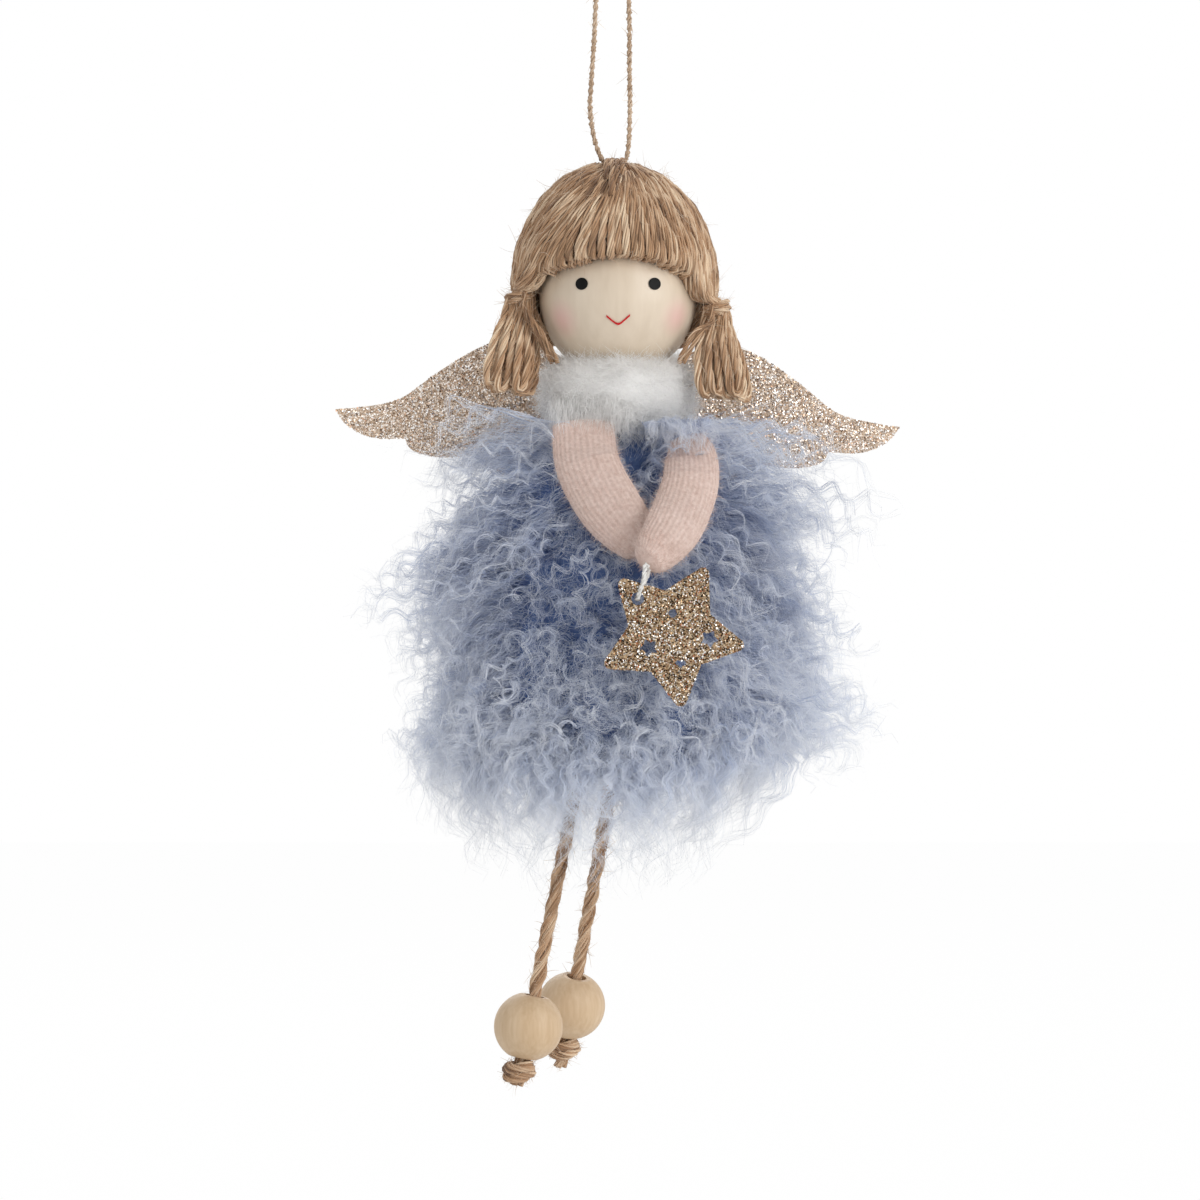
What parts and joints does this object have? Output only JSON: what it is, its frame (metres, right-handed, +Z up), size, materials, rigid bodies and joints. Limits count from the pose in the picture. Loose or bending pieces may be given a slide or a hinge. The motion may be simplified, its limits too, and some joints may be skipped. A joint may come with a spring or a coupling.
{
  "type": "hanging angel doll",
  "caption": "Hanging angel doll with a wooden ball head, tied yarn hair, curly fur dress, glitter wings, a glitter star in its knit hands and bead feet on cord legs.",
  "frame": {"origin": "inside top of the hanger loop, where a hook carries the doll", "axes": "+Z up, -Y towards the doll's face, +X to the viewer's right when the face is seen"},
  "size_m": [0.1094, 0.0642, 0.2142],
  "materials": {
    "painted_wood": "matt cream paint",
    "black_paint": "satin paint",
    "red_paint": "satin paint",
    "jute_yarn": "hairy two-ply yarn",
    "jute_cord": "hairy two-ply cord",
    "twine": "hairy twine",
    "white_plush": "short soft pile",
    "blue_fur": "long curly pile",
    "pink_knit": "brushed fine knit",
    "glitter_board": "glitter faces, plain edges",
    "white_thread": "two-ply cotton thread",
    "glitter_felt": "glitter faces",
    "bare_wood": "smooth unfinished wood"
  },
  "bodies": {
    "hanger": {"hanger_cord": "twine"},
    "doll": {"head_ball": "painted_wood", "painted_eyes": "black_paint", "painted_smile": "red_paint", "back_hair": "jute_yarn", "fringe": "jute_yarn", "left_side_hair": "jute_yarn", "right_side_hair": "jute_yarn", "left_hair_tie": "jute_yarn", "right_hair_tie": "jute_yarn", "left_pigtail": "jute_yarn", "right_pigtail": "jute_yarn", "crown_tie": "jute_yarn", "neck_cord": "jute_cord", "neck_knot": "jute_cord", "scarf": "white_plush", "dress": "blue_fur", "wings": "glitter_felt"},
    "arms": {"left_arm": "pink_knit", "right_arm": "pink_knit"},
    "star_loop": {"star_loop": "white_thread"},
    "star": {"star": "glitter_board"},
    "left_leg": {"left_leg_cord": "jute_cord", "left_foot_knot": "jute_cord"},
    "right_leg": {"right_leg_cord": "jute_cord", "right_foot_knot": "jute_cord"},
    "left_bead": {"left_foot_bead": "bare_wood"},
    "right_bead": {"right_foot_bead": "bare_wood"}
  },
  "joints": [
    {"name": "doll_swing", "type": "hinge", "parent": "hanger", "child": "doll", "pos_m": [-0.0007, 0, -0.0398], "axis": [1, 0, 0], "range_deg": [-45, 45]},
    {"name": "arms_lift", "type": "hinge", "parent": "doll", "child": "arms", "pos_m": [0, -0.0122, -0.0892], "axis": [-1, 0, 0], "range_deg": [0, 25]},
    {"name": "star_lift", "type": "hinge", "parent": "arms", "child": "star_loop", "pos_m": [0.0049, -0.0338, -0.1167], "axis": [-1, 0, 0], "range_deg": [0, 60]},
    {"name": "star_turn", "type": "hinge", "parent": "star_loop", "child": "star", "pos_m": [0.00349, -0.0338, -0.12137], "axis": [0, 1, 0], "range_deg": [-30, 60]},
    {"name": "left_leg_swing", "type": "hinge", "parent": "doll", "child": "left_leg", "pos_m": [-0.0008, -0.0022, -0.0888], "axis": [0, 1, 0], "range_deg": [-18, 8]},
    {"name": "right_leg_swing", "type": "hinge", "parent": "doll", "child": "right_leg", "pos_m": [0.0008, 0.0022, -0.0888], "axis": [0, 1, 0], "range_deg": [-16, 13]},
    {"name": "left_bead_slide", "type": "slide", "parent": "left_leg", "child": "left_bead", "axis": [0.1961, 0, 0.9806], "range_m": [0, 0.02]},
    {"name": "right_bead_slide", "type": "slide", "parent": "right_leg", "child": "right_bead", "axis": [0.172, -0.2389, 0.9557], "range_m": [0, 0.02]}
  ]
}
